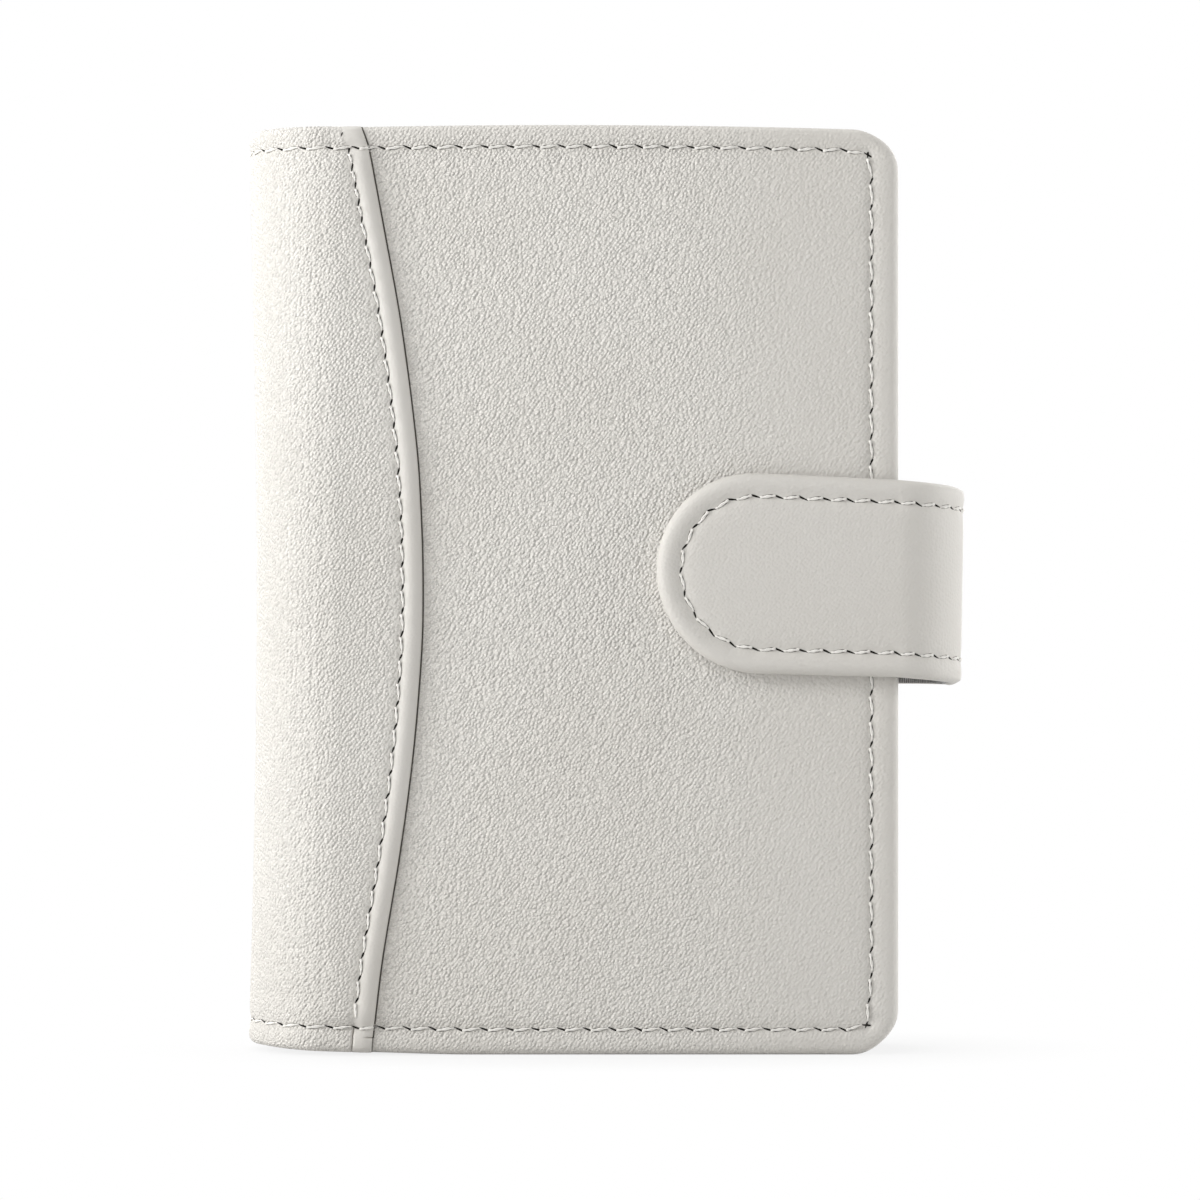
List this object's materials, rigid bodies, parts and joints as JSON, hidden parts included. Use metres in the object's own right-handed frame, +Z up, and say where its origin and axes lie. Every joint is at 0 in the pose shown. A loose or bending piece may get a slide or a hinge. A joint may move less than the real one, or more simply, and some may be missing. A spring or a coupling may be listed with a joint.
{
  "type": "card wallet",
  "caption": "Upright booklet card wallet in soft leather with clear card leaves and a wrap-round tab strap.",
  "frame": {"origin": "under the middle of the closed wallet's box, on the surface that it stands on", "axes": "+X from the spine to the fore-edge, +Y from the front cover to the back cover, +Z up"},
  "size_m": [0.0838, 0.0238, 0.108],
  "materials": {
    "soft_leather": "satin",
    "ribbed_lining": "matte",
    "suede_lining": "matte",
    "grey_board": "matte",
    "clear_film": "gloss",
    "steel": "satin",
    "pale_thread": "matte"
  },
  "bodies": {
    "back_cover": {"back_cover_leather": "soft_leather", "back_cover_board": "grey_board", "back_cover_lining": "suede_lining", "back_slip_pocket": "soft_leather", "back_spine_panel": "soft_leather", "back_edge_thread": "pale_thread", "back_panel_thread": "pale_thread", "strap_root_leather": "soft_leather", "strap_root_core": "grey_board", "strap_root_lining": "ribbed_lining", "strap_root_thread": "pale_thread"},
    "spine_back": {"spine_back_leather": "soft_leather", "spine_back_lining": "suede_lining"},
    "spine_middle": {"spine_middle_leather": "soft_leather", "spine_middle_lining": "suede_lining", "leaf_binding": "suede_lining"},
    "spine_front": {"spine_front_leather": "soft_leather", "spine_front_lining": "suede_lining"},
    "front_cover": {"front_cover_leather": "soft_leather", "front_cover_board": "grey_board", "front_cover_lining": "suede_lining", "front_slip_pocket": "soft_leather", "front_spine_panel": "soft_leather", "front_edge_thread": "pale_thread", "front_panel_thread": "pale_thread", "keeper_plate": "steel"},
    "leaf_1_body": {"leaf_1": "clear_film"},
    "leaf_2_body": {"leaf_2": "clear_film"},
    "leaf_3_body": {"leaf_3": "clear_film"},
    "leaf_4_body": {"leaf_4": "clear_film"},
    "leaf_5_body": {"leaf_5": "clear_film"},
    "leaf_6_body": {"leaf_6": "clear_film"},
    "leaf_7_body": {"leaf_7": "clear_film"},
    "leaf_8_body": {"leaf_8": "clear_film"},
    "strap_bend": {"strap_bend_leather": "soft_leather", "strap_bend_core": "grey_board", "strap_bend_lining": "ribbed_lining"},
    "strap_tab": {"strap_tab_leather": "soft_leather", "strap_tab_core": "grey_board", "strap_tab_lining": "ribbed_lining", "strap_tab_thread": "pale_thread", "tab_magnet": "steel"}
  },
  "joints": [
    {"name": "cover_opening", "type": "hinge", "parent": "back_cover", "child": "spine_back", "pos_m": [-0.03555, 0.00942, 0.054], "axis": [0, 0, -1], "range_deg": [0, 45], "deforming": ["strap_tab_leather", "strap_tab_core", "strap_tab_lining", "strap_tab_thread", "tab_magnet"]},
    {"name": "spine_middle_fold", "type": "hinge", "parent": "spine_back", "child": "spine_middle", "pos_m": [-0.04107, 0.0039, 0.054], "axis": [0, 0, -1], "range_deg": [0, 45]},
    {"name": "spine_front_fold", "type": "hinge", "parent": "spine_middle", "child": "spine_front", "pos_m": [-0.04107, -0.0039, 0.054], "axis": [0, 0, -1], "range_deg": [0, 45]},
    {"name": "front_cover_fold", "type": "hinge", "parent": "spine_front", "child": "front_cover", "pos_m": [-0.03555, -0.00942, 0.054], "axis": [0, 0, -1], "range_deg": [0, 45]},
    {"name": "leaf_1_turn", "type": "hinge", "parent": "spine_middle", "child": "leaf_1_body", "pos_m": [-0.03682, 0.00402, 0.054], "axis": [0, 0, -1], "range_deg": [-70, 0]},
    {"name": "leaf_2_turn", "type": "hinge", "parent": "spine_middle", "child": "leaf_2_body", "pos_m": [-0.03682, 0.00287, 0.054], "axis": [0, 0, -1], "range_deg": [-50, 0]},
    {"name": "leaf_3_turn", "type": "hinge", "parent": "spine_middle", "child": "leaf_3_body", "pos_m": [-0.03682, 0.00172, 0.054], "axis": [0, 0, -1], "range_deg": [-30, 0]},
    {"name": "leaf_4_turn", "type": "hinge", "parent": "spine_middle", "child": "leaf_4_body", "pos_m": [-0.03682, 0.00057, 0.054], "axis": [0, 0, -1], "range_deg": [-10, 0]},
    {"name": "leaf_5_turn", "type": "hinge", "parent": "spine_middle", "child": "leaf_5_body", "pos_m": [-0.03682, -0.00057, 0.054], "axis": [0, 0, -1], "range_deg": [0, 10]},
    {"name": "leaf_6_turn", "type": "hinge", "parent": "spine_middle", "child": "leaf_6_body", "pos_m": [-0.03682, -0.00172, 0.054], "axis": [0, 0, -1], "range_deg": [0, 30]},
    {"name": "leaf_7_turn", "type": "hinge", "parent": "spine_middle", "child": "leaf_7_body", "pos_m": [-0.03682, -0.00287, 0.054], "axis": [0, 0, -1], "range_deg": [0, 50]},
    {"name": "leaf_8_turn", "type": "hinge", "parent": "spine_middle", "child": "leaf_8_body", "pos_m": [-0.03682, -0.00402, 0.054], "axis": [0, 0, -1], "range_deg": [0, 70]},
    {"name": "strap_swing", "type": "hinge", "parent": "back_cover", "child": "strap_bend", "pos_m": [0.03936, 0.00921, 0.0543], "axis": [0, 0, 1], "range_deg": [0, 90]},
    {"name": "tab_lift", "type": "hinge", "parent": "strap_bend", "child": "strap_tab", "pos_m": [0.03936, -0.00921, 0.0551], "axis": [0, 0, 1], "range_deg": [0, 90]}
  ],
  "couplings": [
    {"joint": "spine_middle_fold", "follows": "cover_opening", "ratio": 1},
    {"joint": "spine_front_fold", "follows": "cover_opening", "ratio": 1},
    {"joint": "front_cover_fold", "follows": "cover_opening", "ratio": 1},
    {"joint": "leaf_1_turn", "follows": "cover_opening", "ratio": -1.5556},
    {"joint": "leaf_2_turn", "follows": "cover_opening", "ratio": -1.1111},
    {"joint": "leaf_3_turn", "follows": "cover_opening", "ratio": -0.66667},
    {"joint": "leaf_4_turn", "follows": "cover_opening", "ratio": -0.22222},
    {"joint": "leaf_5_turn", "follows": "cover_opening", "ratio": 0.22222},
    {"joint": "leaf_6_turn", "follows": "cover_opening", "ratio": 0.66667},
    {"joint": "leaf_7_turn", "follows": "cover_opening", "ratio": 1.1111},
    {"joint": "leaf_8_turn", "follows": "cover_opening", "ratio": 1.5556}
  ]
}
